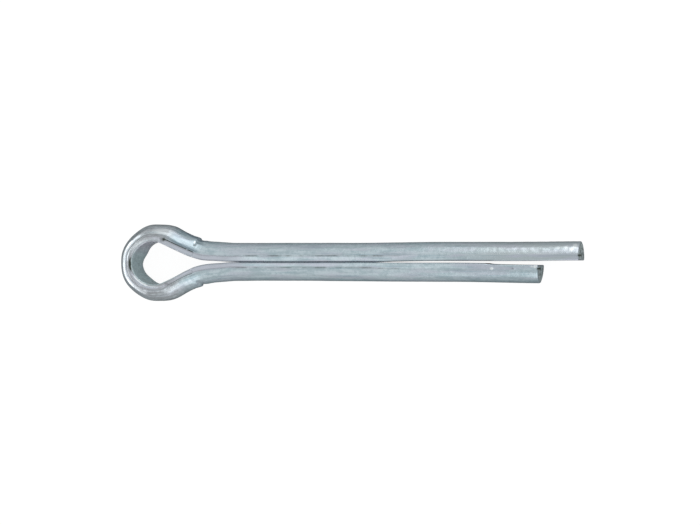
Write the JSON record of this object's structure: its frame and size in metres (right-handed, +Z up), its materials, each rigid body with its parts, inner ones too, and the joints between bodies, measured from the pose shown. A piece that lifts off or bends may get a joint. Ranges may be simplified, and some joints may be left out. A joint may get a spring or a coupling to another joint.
{
  "type": "cotter pin",
  "caption": "Split cotter pin of folded half-round wire, with an open eye and two straight legs of unequal length.",
  "frame": {"origin": "on the shank's axis, where the two legs come together under the eye", "axes": "+X along the shank from the eye to the tips, +Y across the legs towards the long leg, +Z up from the side that the pin lies on"},
  "size_m": [0.0449, 0.0072, 0.0034],
  "materials": {
    "zinc_plate": "bright zinc plate over drawn steel wire"
  },
  "bodies": {
    "root": {"cotter_pin": "zinc_plate"}
  },
  "joints": []
}
